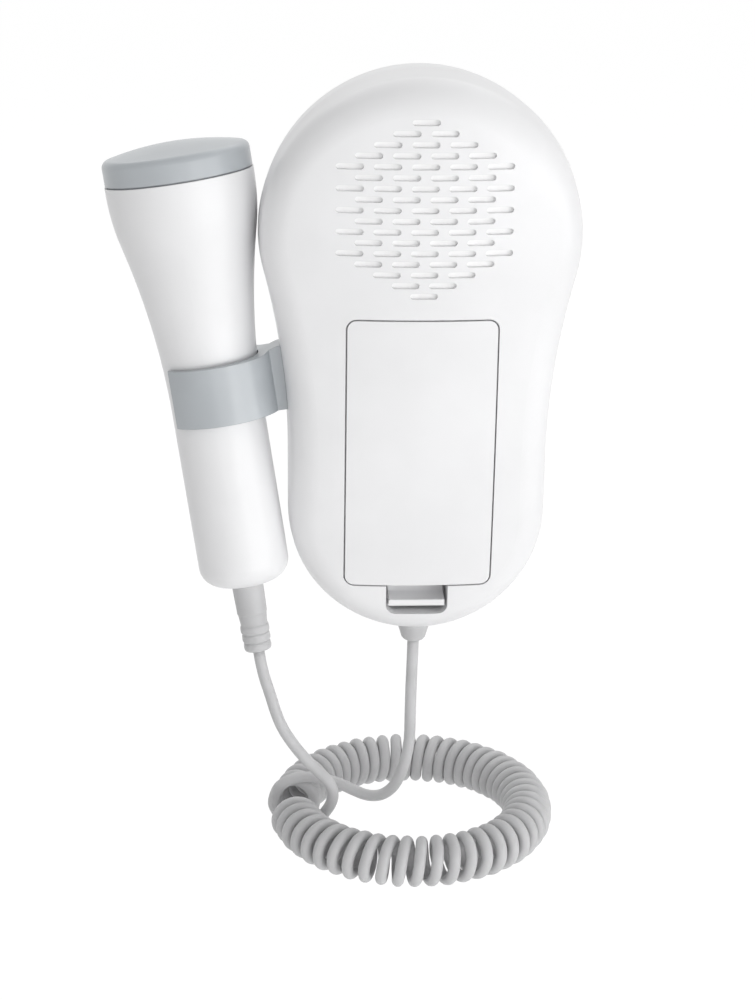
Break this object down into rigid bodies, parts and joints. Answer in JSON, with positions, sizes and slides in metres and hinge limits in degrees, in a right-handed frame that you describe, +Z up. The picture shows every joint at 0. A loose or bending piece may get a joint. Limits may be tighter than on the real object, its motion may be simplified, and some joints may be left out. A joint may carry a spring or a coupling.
{
  "type": "fetal doppler monitor",
  "caption": "Pear-shaped handheld fetal doppler with display, keys, loudspeaker grille, battery cover, and a probe in a side clip on a curly cord.",
  "frame": {"origin": "Middle of the hand grip: centre of the unit's straight-sided lower body, on the parting plane.", "axes": "+Z up along the unit, -Y out of the rear face with grille and battery cover, +Y out of the display face, the probe on the -X side."},
  "size_m": [0.1099, 0.0696, 0.1876],
  "materials": {
    "white_shell": "glossy moulded plastic",
    "grey_plastic": "satin moulded plastic",
    "cord_grey": "matte soft plastic jacket",
    "window": "clear tinted window",
    "dark_plastic": "matte moulded plastic",
    "cloth": "fine white speaker cloth",
    "foam": "closed-cell foam",
    "steel": "plated steel",
    "board": "green circuit board",
    "cell": "plain printed sleeve",
    "lcd": "reflective display glass",
    "light_guide": "diffusing plastic",
    "magnet": "plated magnet",
    "crystal": "silvered ceramic",
    "backing": "filled resin",
    "cone": "pressed paper"
  },
  "bodies": {
    "unit": {"speaker_dust_cloth": "cloth", "speaker_gasket": "foam", "speaker_frame": "steel", "speaker_cone": "cone", "speaker_magnet": "magnet", "battery_cells": "cell", "battery_spring_contacts": "steel", "battery_plate_contacts": "steel", "shell_screws": "steel", "cord_gland": "cord_grey", "rear_cover": "white_shell", "display_window": "window", "lcd_frame": "dark_plastic", "lcd_panel": "lcd", "lcd_backlight": "light_guide", "tact_switches": "dark_plastic", "earphone_socket": "dark_plastic", "front_cover": "white_shell", "main_board": "board", "board_chips": "dark_plastic", "probe_holder": "grey_plastic", "unit_lead": "cord_grey", "probe_lead": "cord_grey", "cord_coil": "cord_grey"},
    "power_button": {"power_button": "grey_plastic"},
    "mode_button": {"mode_button": "grey_plastic"},
    "volume_up_button": {"volume_up_button": "grey_plastic"},
    "volume_down_button": {"volume_down_button": "grey_plastic"},
    "battery_cover": {"battery_cover": "white_shell"},
    "battery_latch": {"battery_latch": "white_shell"},
    "probe": {"probe_body": "white_shell", "probe_cap": "grey_plastic", "cap_seal": "foam", "transducer_crystals": "crystal", "backing_block": "backing", "transducer_carrier": "dark_plastic", "probe_board": "board", "probe_strain_relief": "cord_grey"}
  },
  "joints": [
    {"name": "power_press", "type": "slide", "parent": "unit", "child": "power_button", "axis": [0, -1, 0], "range_m": [0, 0.0005], "stiffness_N_per_m": 600, "springref_m": -0.0005},
    {"name": "mode_press", "type": "slide", "parent": "unit", "child": "mode_button", "axis": [0, -1, 0], "range_m": [0, 0.0005], "stiffness_N_per_m": 600, "springref_m": -0.0005},
    {"name": "volume_up_press", "type": "slide", "parent": "unit", "child": "volume_up_button", "axis": [0, -1, 0], "range_m": [0, 0.0005], "stiffness_N_per_m": 600, "springref_m": -0.0005},
    {"name": "volume_down_press", "type": "slide", "parent": "unit", "child": "volume_down_button", "axis": [0, -1, 0], "range_m": [0, 0.0005], "stiffness_N_per_m": 600, "springref_m": -0.0005},
    {"name": "battery_cover_hinge", "type": "hinge", "parent": "unit", "child": "battery_cover", "pos_m": [0, -0.0173, 0.0305], "axis": [-1, 0, 0], "range_deg": [0, 50]},
    {"name": "battery_latch_flex", "type": "hinge", "parent": "battery_cover", "child": "battery_latch", "pos_m": [0, -0.00487, -0.0374], "axis": [-1, 0, 0], "range_deg": [0, 12], "stiffness_Nm_per_rad": 0.02},
    {"name": "probe_lift", "type": "slide", "parent": "unit", "child": "probe", "axis": [-0.1532, 0.0947, 0.9837], "range_m": [0, 0.06]}
  ]
}
